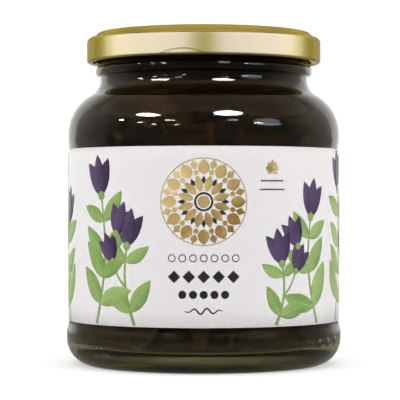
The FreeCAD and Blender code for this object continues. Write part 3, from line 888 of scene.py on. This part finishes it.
def around(count, radius, start=0.0):
    """Places set evenly on a circle about the rosette's middle, each with its own bearing."""
    for bearing in start + np.arange(count) * 2 * math.pi / count:
        yield (ROSETTE[0] + radius * math.cos(bearing), ROSETTE[1] + radius * math.sin(bearing)), bearing


disc("print_gold", ROSETTE, 1.7, 0, gilt(ROSETTE))
ring("print_dark", ROSETTE, 2.35, 0.6, 0, SEED_TONE)
for spot, bearing in around(PETALS, 2.9, HALF_PETAL):
    leaf("print_gold", spot, bearing, 4.6, 2.1, 0.0, 0, gilt(spot), 0.1)
for spot, bearing in around(PETALS, 6.0):
    lozenge("print_dark", spot, 2.4, 1.3, 0, SEED_TONE, bearing)
for spot, bearing in around(PETALS, 7.5):
    leaf("print_gold", spot, bearing, 4.3, 3.3, 0.0, 0, gilt(spot), 0.1)
for spot, bearing in around(PETALS, 8.3, HALF_PETAL):
    disc("print_gold", spot, 0.72, 0, gilt(spot), 4)
for spot, bearing in around(PETALS, 10.5, HALF_PETAL):
    lozenge("print_gold", spot, 2.9, 2.2, 0, gilt(spot), bearing)
ring("print_gold", ROSETTE, 12.0, 0.28, 0, 0.45, 72)

# dark rows of ornament under it: rings, lozenges and discs, then a flourish of three waves that dies away
RINGS_HEIGHT, LOZENGES_HEIGHT, DISCS_HEIGHT, FLOURISH_HEIGHT = 32.1, 27.0, 22.1, 17.6
ROUND_PITCH, LOZENGE_PITCH = 2.95, 4.1
for step in np.arange(-3, 4):
    ring("print_dark", (ROUND_PITCH * step, RINGS_HEIGHT), 0.95, 0.28, 0, 0.4, 24)
for step in np.arange(-2, 3):
    lozenge("print_dark", (LOZENGE_PITCH * step, LOZENGES_HEIGHT), 3.5, 3.5, 0, ROW_TONE)
for step in np.arange(-2, 3):
    disc("print_dark", (ROUND_PITCH * step, DISCS_HEIGHT), 1.12, 0, ROW_TONE)
share = np.linspace(-1, 1, 49)
wave = 0.75 * np.sin(share * 3 * math.pi) * (1.1 - share**2)
stroke("print_dark", 5.3 * share, FLOURISH_HEIGHT + wave, 0.5 - 0.3 * share**2, 0, 0.3)

# a small gold flower with two fine grey rules, up to the right
FLOWER = (19.8, 56.0)
for spread in (-1.05, -0.52, 0.0, 0.52, 1.05):
    length, tone = 3.4 - 0.9 * abs(spread), 0.5 - 0.3 * spread
    leaf("print_gold", FLOWER, math.pi / 2 + spread, length, 1.5, 0.0, 0, tone, 0.1)
rule("print_gold", FLOWER[0] - 1.6, FLOWER[0] + 1.6, FLOWER[1] - 0.5, 0.35)
rule("print_dark", FLOWER[0] - 3.6, FLOWER[0] + 3.6, 53.4, 0.45, 0, 0.75)
rule("print_dark", FLOWER[0] - 3.9, FLOWER[0] + 3.9, 51.0, 0.45, 0, 0.75)

# plain panels at the back, one to each side of the lap: ten rules in a thin frame, the top one heavier
RULES_START = 95.0
RULE_LENGTHS = (22.0, 19.5, 21.0, 14.0)
FRAME_FOOT, FRAME_TOP, FRAME_LINE = 19.0, 54.0, 0.3
for side in (1, -1):
    for number, height in enumerate(np.arange(22.0, FRAME_TOP, 3.2)):
        ends = sorted((side * RULES_START, side * (RULES_START + RULE_LENGTHS[number % 4])))
        rule("print_dark", *ends, height, 0.7 if number == 9 else 0.4, 0, 0.65)
    left, right = sorted((side * (RULES_START - 2.0), side * (RULES_START + 24.0)))
    for height in (FRAME_FOOT, FRAME_TOP):
        rule("print_dark", left, right, height, FRAME_LINE, 0, 0.4)
    upright = np.linspace(FRAME_FOOT, FRAME_TOP, 8)
    for edge in (left, right):
        stroke("print_dark", np.full(8, edge), upright, np.full(8, FRAME_LINE), 0, 0.4)


def ink_wash():
    """A group for water-based ink: a dark colour to a light one, by a film's tone and a drift of noise."""
    colour, number = "NodeSocketColor", "NodeSocketFloat"
    group, given, result = group_of(
        "ink_wash",
        {"Dark": (colour, (0, 0, 0, 1)), "Light": (colour, (1, 1, 1, 1)), "Drift": (number, 0.5)},
        {"Color": colour})
    centred = maths(group, "SUBTRACT", noise_of(group, 220.0, 5.0, 0.6), 0.5)
    tone = add(group, "Attribute", {"attribute_name": "tone"}).outputs["Fac"]
    drifted = maths(group, "MULTIPLY_ADD", centred, given.outputs["Drift"], tone, clamp=True)
    washed = mixed(group, drifted, given.outputs["Dark"], given.outputs["Light"])
    group.links.new(washed, result.inputs["Color"])
    return group


INK_WASH = ink_wash()
INKS = {  # dark colour, light colour, drift of the noise
    "print_green": ((0.165, 0.30, 0.062, 1), (0.37, 0.52, 0.175, 1), 1.1),
    "print_purple": ((0.035, 0.017, 0.062, 1), (0.13, 0.075, 0.19, 1), 1.0),
    "print_gold": ((0.25, 0.135, 0.012, 1), (0.72, 0.56, 0.25, 1), 0.9),
    "print_dark": ((0.008, 0.007, 0.008, 1), (0.14, 0.13, 0.135, 1), 0.2),
}
for ink, (dark, light, drift) in INKS.items():
    look, tree, shader = material_of(ink, Metallic=0.0, Coat_Weight=0.2, Coat_Roughness=0.25)
    wash = add(tree, "Group", {"node_tree": INK_WASH}, Dark=dark, Light=light, Drift=drift)
    tree.links.new(wash.outputs["Color"], shader.inputs["Base Color"])
    marked(tree, shader, 80.0, 0.40, 0.55)
    points, faces, shades = zip(*films[ink])
    starts = np.cumsum([0, *map(len, points)])
    quads = np.vstack([film_faces + start for film_faces, start in zip(faces, starts)])
    made = piece(ink, np.vstack(points), quads, (), [look])
    tone = np.concatenate(shades).astype(np.float32)
    made.data.attributes.new("tone", "FLOAT", "POINT").data.foreach_set("value", tone)

# ================================================================ studio
# Not part of the jar: a white floor, a white room that is greyer in front of the jar than behind it, soft
# lights at both sides and above, soft boxes that only the lid mirrors, and a room's lamps and window that
# only the glass mirrors.
FLOOR_RADIUS = 6.0
FLOOR_SIDES = 96
FALL_FROM, FALL_TO = -0.06, 0.64  # metres behind the jar over which the mirrored floor brightens
BEAM_SLOPE, BEAM_HALF, BEAM_FADE = 0.87, 0.03, 0.05  # the part of it that lies straight behind the jar
FLOOR_AS_SEEN, WALL_AS_SEEN = 1.04, 1.05
floor_angle = np.linspace(0, 2 * math.pi, FLOOR_SIDES, endpoint=False)
rim_points = FLOOR_RADIUS * np.stack([np.cos(floor_angle), np.sin(floor_angle), 0 * floor_angle], axis=1)
floor_mesh = bpy.data.meshes.new("floor")
floor_mesh.from_pydata(rim_points.tolist(), [], [list(range(FLOOR_SIDES))])
floor_look, tree, shader = material_of("floor_white", Base_Color=(0.93, 0.93, 0.93, 1), Roughness=0.9)
path = add(tree, "LightPath")
apart = add(tree, "SeparateXYZ", Vector=add(tree, "TexCoord").outputs["Object"])
# what shines in the glass and the lid is a floor that falls off into a dim room in front of the jar
forward = mapped(tree, apart.outputs["Y"], FALL_FROM, FALL_TO)
falling_off = ramp(tree, forward, [
    (0.0, (0.05, 0.047, 0.04)),
    (0.12, (0.45, 0.45, 0.40)),
    (0.45, (0.50, 0.50, 0.45)),
    (1.0, (1.2, 1.2, 1.12)),
])
at_sides = ramp(tree, forward, [(0.0, (0.13, 0.127, 0.105)), (0.14, (0.40, 0.39, 0.33))])
aside = maths(tree, "ABSOLUTE", apart.outputs["X"])
beam_edge = maths(tree, "MULTIPLY_ADD", apart.outputs["Y"], BEAM_SLOPE, BEAM_HALF)
in_beam = mapped(tree, maths(tree, "SUBTRACT", beam_edge, aside), 0.0, BEAM_FADE)
mirrored = add(tree, "Emission", Color=mixed(tree, in_beam, at_sides, falling_off))
through_glass = add(tree, "Emission", Color=(0.30, 0.30, 0.21, 1))
bright = add(tree, "Emission", Color=(1, 1, 1, 1), Strength=FLOOR_AS_SEEN)
seen_share = maths(tree, "MULTIPLY", path.outputs["Is Camera Ray"], 0.5)
look = add(tree, "MixShader", in_0=seen_share, in_1=shader.outputs[0], in_2=bright.outputs[0])
for ray, instead in (("Is Transmission Ray", through_glass), ("Is Glossy Ray", mirrored)):
    look = add(tree, "MixShader", in_0=path.outputs[ray], in_1=look.outputs[0], in_2=instead.outputs[0])
tree.links.new(look.outputs[0], tree.nodes["Material Output"].inputs["Surface"])
floor_mesh.materials.append(floor_look)
floor = bpy.data.objects.new("floor", floor_mesh)
bpy.context.scene.collection.objects.link(floor)

LOW_TO_HIGH, WALL_TO_CEILING = (0.05, 0.40), (0.42, 0.70)  # sines of the elevations over which they blend
world = bpy.data.worlds.new("studio")
world.use_nodes = True
bpy.context.scene.world = world
tree = world.node_tree
tree.nodes.clear()
apart = add(tree, "SeparateXYZ", Vector=add(tree, "TexCoord").outputs["Generated"])
# the bearing is measured from straight behind the jar, as a share of half a turn to either side
away = maths(tree, "ABSOLUTE", maths(tree, "ARCTAN2", apart.outputs["X"], apart.outputs["Y"]))
share = maths(tree, "DIVIDE", away, math.pi)
low_walls = ramp(tree, share, [
    (41 / 180, (1.2, 1.2, 1.14)),
    (45 / 180, (0.50, 0.50, 0.42)),
    (75 / 180, (0.38, 0.37, 0.30)),
    (110 / 180, (0.13, 0.122, 0.10)),
    (1.0, (0.07, 0.065, 0.055)),
])
high_walls = ramp(tree, share, [
    (38 / 180, (1.0, 1.0, 0.96)),
    (46 / 180, (0.60, 0.60, 0.53)),
    (75 / 180, (0.48, 0.47, 0.40)),
    (110 / 180, (0.13, 0.12, 0.10)),
    (1.0, (0.08, 0.07, 0.06)),
])
walls = mixed(tree, mapped(tree, apart.outputs["Z"], *LOW_TO_HIGH), low_walls, high_walls)
room = mixed(tree, mapped(tree, apart.outputs["Z"], *WALL_TO_CEILING), walls, (0.09, 0.08, 0.068, 1))
room_light = add(tree, "Background", Color=room)
seen = add(tree, "Background", Color=(1, 1, 1, 1), Strength=WALL_AS_SEEN)
path = add(tree, "LightPath")
choice = add(tree, "MixShader",
             in_0=path.outputs["Is Camera Ray"], in_1=room_light.outputs[0], in_2=seen.outputs[0])
add(tree, "OutputWorld", Surface=choice.outputs[0])

LAMP_TARGET = np.array([0.0, 0.0, 0.06])
WARM_WHITE, DAYLIGHT = (1.0, 0.97, 0.88), (0.75, 0.85, 1.0)
ACROSS_THE_ROOM = 2.5
TOP_LIGHT, TOP_SPREAD, TOP_TILT = 3.2, math.radians(80), math.radians(8)


def lamp(name, bearing, elevation, distance, wide, high, radiance, colour, only=None, shape="RECTANGLE"):
    """An area light that faces the jar. Its bearing is in degrees from the jar's front, to the right.

    It spans wide by high degrees. Without only it lights the room and is mirrored by nothing, and with only
    it is mirrored by that one piece and lights up nothing.
    """
    data = bpy.data.lights.new(name, "AREA")
    data.shape = shape
    data.size = 2 * distance * math.tan(math.radians(wide / 2))
    data.size_y = 2 * distance * math.tan(math.radians(high / 2))
    data.energy = radiance * math.pi * data.size * data.size_y
    data.color = colour
    made = bpy.data.objects.new(name, data)
    turn, rise = math.radians(bearing), math.radians(elevation)
    made.location = LAMP_TARGET + distance * about_axis(turn, math.cos(rise), math.sin(rise))
    made.rotation_euler = (math.radians(90) - rise, 0, turn)
    bpy.context.scene.collection.objects.link(made)
    made.visible_camera = False
    made.visible_glossy = only is not None
    made.visible_transmission = False
    made.visible_diffuse = only is None
    if only is not None:
        made.light_linking.receiver_collection = bpy.data.collections.new(name + "_lights")
        made.light_linking.receiver_collection.objects.link(only)


for side, turn in (("left", -1), ("right", 1)):
    lamp("side_light_" + side, 78 * turn, 20, 1.2, 60, 60, 1.0, (1, 1, 1))
    lamp("lid_box_" + side, 61 * turn, 15, 1.0, 100, 46, 2.6, (0.35, 0.385, 1.0), only=lid)
    lamp("lid_glow_" + side, 56 * turn, 15, 0.9, 84, 46, 2.9, (0.155, 0.172, 1.0), only=lid)
lamp("lid_box_front", 0, 15, 1.0, 24, 46, 0.95, (0.55, 0.57, 0.75), only=lid)
lamp("lid_box_top", 0, 78, 1.0, 70, 50, 0.5, (1.0, 0.97, 0.82), only=lid)
ROOM_LAMPS = [  # bearing, elevation, width, height, radiance, colour: the last two are a window and its sill
    (24, 42, 22, 13, 26, WARM_WHITE),
    (-54, 36, 21, 8, 26, WARM_WHITE),
    (-76, 23, 6, 3.0, 26, WARM_WHITE),
    (-29.5, 25, 9, 2.4, 18, WARM_WHITE),
    (-21.5, 14.6, 5, 2.0, 9, WARM_WHITE),
    (-56, 19, 5, 2.0, 18, WARM_WHITE),
    (-42.5, 15, 5, 2.0, 16, WARM_WHITE),
    (25, 25, 8, 2.2, 13, WARM_WHITE),
    (47, 18, 9, 2.4, 20, WARM_WHITE),
    (-50, -9.5, 7, 2.5, 5, WARM_WHITE),
    (56, 20, 24, 16, 1.7, DAYLIGHT),
    (57, 15, 24, 3.5, 2.2, DAYLIGHT),
]
for number, (bearing, elevation, *rest) in enumerate(ROOM_LAMPS):
    lamp(f"room_lamp_{number}", bearing, elevation, ACROSS_THE_ROOM, *rest, only=jar, shape="ELLIPSE")
lamp("brown_ceiling", 0, 88, ACROSS_THE_ROOM, 120, 80, 0.33, (1.0, 0.75, 0.5), only=jar)
lamp("lid_sky", 180, 55, 1.0, 110, 50, 0.5, (1.0, 0.9, 0.85), only=lid)
sun_data = bpy.data.lights.new("soft_top_light", "SUN")
sun_data.energy = TOP_LIGHT
sun_data.angle = TOP_SPREAD
sun = bpy.data.objects.new("soft_top_light", sun_data)
sun.rotation_euler = (TOP_TILT, 0, 0)
bpy.context.scene.collection.objects.link(sun)
sun.visible_glossy = False
sun.visible_transmission = False

# the denoiser sees the picture alone, because its guides draw patches behind several skins of glass
scene = bpy.context.scene
scene.view_settings.view_transform = "Standard"
scene.cycles.use_denoising = True
scene.cycles.denoising_input_passes = "RGB"
scene.cycles.max_bounces = 16
scene.cycles.transmission_bounces = 12
scene.cycles.glossy_bounces = 6
scene.cycles.sample_clamp_indirect = 4.0
